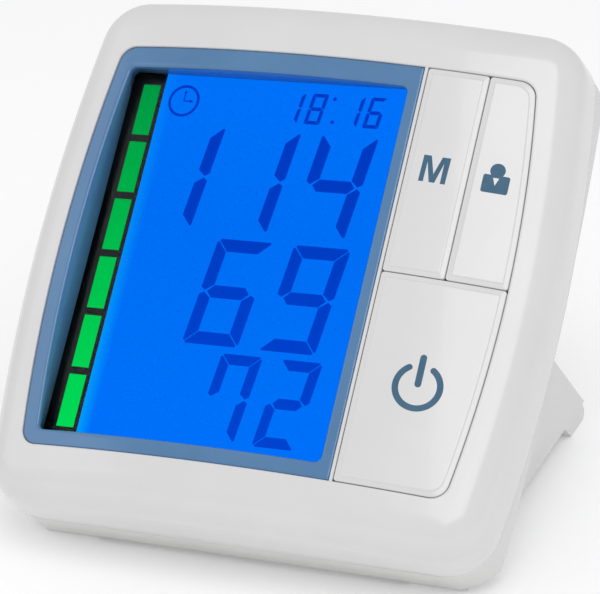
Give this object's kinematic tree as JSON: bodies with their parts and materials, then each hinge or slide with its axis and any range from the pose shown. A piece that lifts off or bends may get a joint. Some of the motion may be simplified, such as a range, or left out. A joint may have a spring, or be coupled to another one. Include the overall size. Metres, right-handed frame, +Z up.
{
  "type": "upper arm blood pressure monitor",
  "caption": "Upper arm blood pressure monitor standing on its battery leg, with a lit display, memory, user and power keys, an air pump and a hose socket.",
  "frame": {"origin": "on the resting surface, under the centre of the overall box", "axes": "+X to the right of someone facing the display, +Y away from them towards the leg, +Z up"},
  "size_m": [0.1378, 0.1124, 0.1142],
  "materials": {
    "shell": "gloss",
    "shell_back": "satin",
    "bezel": "gloss",
    "window": "clear",
    "display": "gloss",
    "light_guide": "satin",
    "strip_rubber": "matte",
    "inner_plastic": "matte",
    "board": "satin",
    "screw_steel": "satin",
    "component_black": "matte",
    "key": "gloss",
    "aluminium_can": "satin",
    "cell": "gloss",
    "contact_metal": "satin",
    "magnet": "matte",
    "coil": "gloss",
    "brass_part": "satin",
    "tube": "satin"
  },
  "bodies": {
    "housing": {"front_housing": "shell", "rear_housing": "shell_back", "display_bezel": "bezel", "display_window": "window", "lcd_panel": "display", "backlight": "light_guide", "contact_strips": "strip_rubber", "display_holder": "inner_plastic", "main_board": "board", "board_screws": "screw_steel", "housing_screws": "screw_steel", "switch_bases": "component_black", "control_chip": "component_black", "buzzer": "component_black", "capacitors": "aluminium_can", "pressure_sensor": "component_black", "battery_cell_1": "cell", "battery_cell_2": "cell", "battery_cell_3": "cell", "battery_cell_4": "cell", "battery_contacts": "contact_metal", "battery_springs": "contact_metal", "motor_can": "contact_metal", "motor_magnets": "magnet", "pump_diaphragm": "strip_rubber", "pump_head": "component_black", "pump_cushion": "strip_rubber", "valve_yoke": "contact_metal", "valve_coil": "coil", "air_manifold": "inner_plastic", "leak_valve": "brass_part", "air_tubes": "tube", "air_socket": "inner_plastic", "power_jack": "component_black"},
    "memory_key": {"memory_button": "key", "memory_plunger": "component_black"},
    "user_key": {"user_button": "key", "user_plunger": "component_black"},
    "power_key": {"power_button": "key", "power_plunger": "component_black"},
    "door": {"battery_door": "shell_back"},
    "rotor": {"pump_rotor": "screw_steel", "pump_crank": "inner_plastic"},
    "valve_slide": {"valve_core": "screw_steel"}
  },
  "joints": [
    {"name": "memory_press", "type": "slide", "parent": "housing", "child": "memory_key", "axis": [0, 0.6921, -0.7218], "range_m": [0, 0.0005], "stiffness_N_per_m": 4000},
    {"name": "user_press", "type": "slide", "parent": "housing", "child": "user_key", "axis": [0, 0.6921, -0.7218], "range_m": [0, 0.0005], "stiffness_N_per_m": 4000},
    {"name": "power_press", "type": "slide", "parent": "housing", "child": "power_key", "axis": [0, 0.6921, -0.7218], "range_m": [0, 0.0005], "stiffness_N_per_m": 4000},
    {"name": "battery_door_lift", "type": "slide", "parent": "housing", "child": "door", "axis": [0, 0.7218, 0.6921], "range_m": [0, 0.02]},
    {"name": "pump_rotor_spin", "type": "hinge", "parent": "housing", "child": "rotor", "pos_m": [0.03, -0.00509, 0.02064], "axis": [1, 0, 0], "continuous": true},
    {"name": "valve_core_close", "type": "slide", "parent": "housing", "child": "valve_slide", "axis": [1, 0, 0], "range_m": [0, 0.0012], "stiffness_N_per_m": 200}
  ]
}
